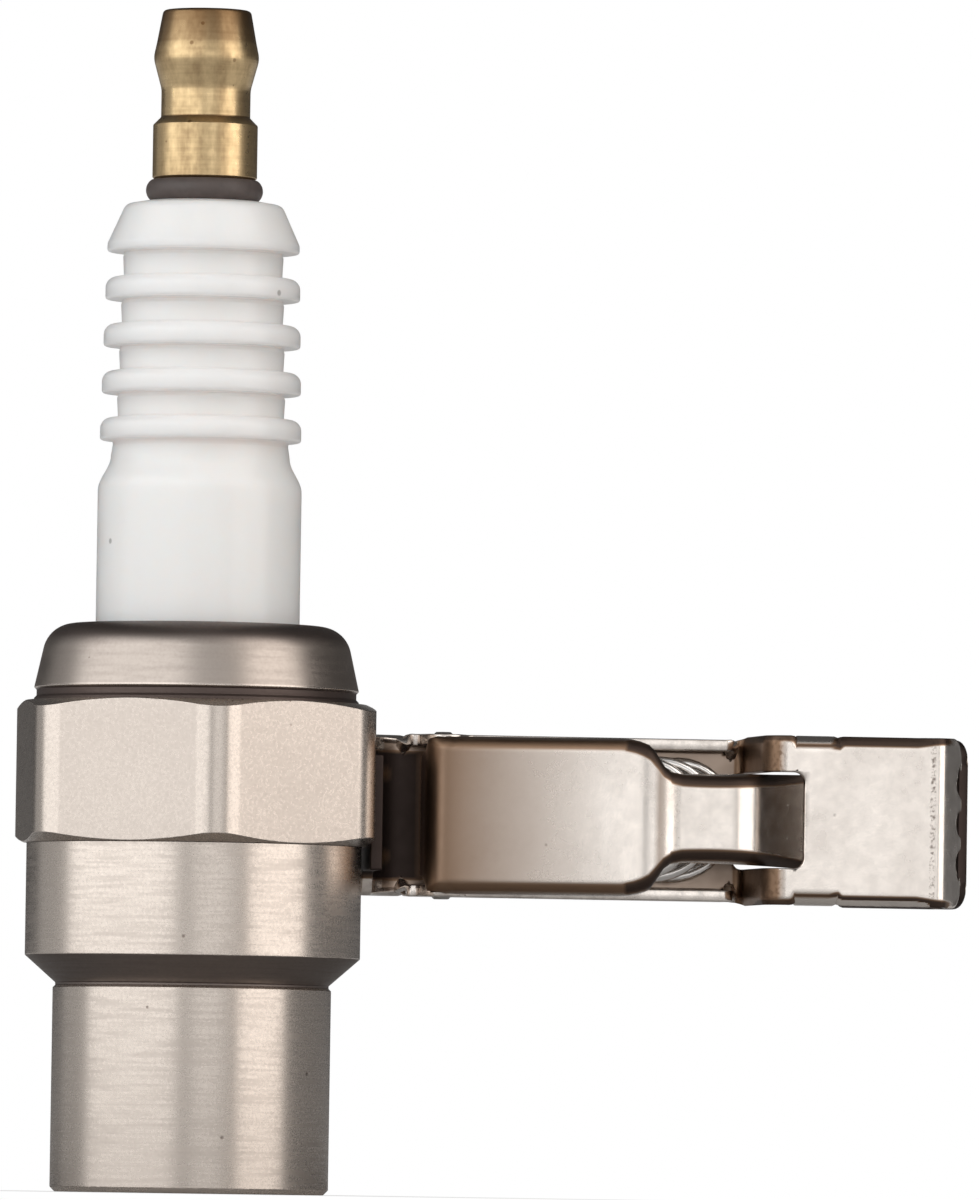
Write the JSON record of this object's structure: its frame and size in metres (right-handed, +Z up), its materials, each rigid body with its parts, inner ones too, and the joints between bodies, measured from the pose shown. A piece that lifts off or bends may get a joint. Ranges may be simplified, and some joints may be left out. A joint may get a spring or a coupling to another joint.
{
  "type": "spark plug tester",
  "caption": "Ignition spark tester: a ribbed spark plug with a smooth open barrel instead of a thread, and a sprung jaw clip on its hexagon for grounding it to an engine.",
  "frame": {"origin": "centre of the barrel's mouth, on the face that the tester stands on", "axes": "+Z up the plug's axis to the terminal nut, +X along the clip to its jaws, +Y from the clip's front jaw to its back jaw"},
  "size_m": [0.058, 0.0234, 0.0717],
  "materials": {
    "shell_nickel": "turned steel, satin nickel plate",
    "clip_nickel": "pressed steel, bright nickel plate",
    "insulator_ceramic": "white glazed alumina",
    "terminal_brass": "turned brass, worn and stained",
    "ring_rubber": "dark rubber",
    "inner_steel": "plain steel",
    "inner_copper": "copper",
    "seal_mineral": "pressed mineral and glass powder",
    "spring_steel": "plated spring wire"
  },
  "bodies": {
    "tester": {"shell": "shell_nickel", "insulator": "insulator_ceramic", "terminal_nut": "terminal_brass", "terminal_stud": "inner_steel", "o_ring": "ring_rubber", "glass_seal": "seal_mineral", "centre_electrode": "inner_steel", "electrode_core": "inner_copper", "upper_packing_ring": "inner_steel", "talc_packing": "seal_mineral", "lower_packing_ring": "inner_steel", "seat_washer": "inner_copper", "base_lever": "clip_nickel", "clip_spring": "spring_steel", "hinge_pin": "spring_steel"},
    "thumb": {"thumb_lever": "clip_nickel"}
  },
  "joints": [
    {"name": "clip_squeeze", "type": "hinge", "parent": "tester", "child": "thumb", "pos_m": [0.01545, 0.00225, 0.0232], "axis": [0, 0, 1], "range_deg": [0, 12], "stiffness_Nm_per_rad": 0.3, "springref_deg": -17.19, "deforming": ["clip_spring"]}
  ]
}
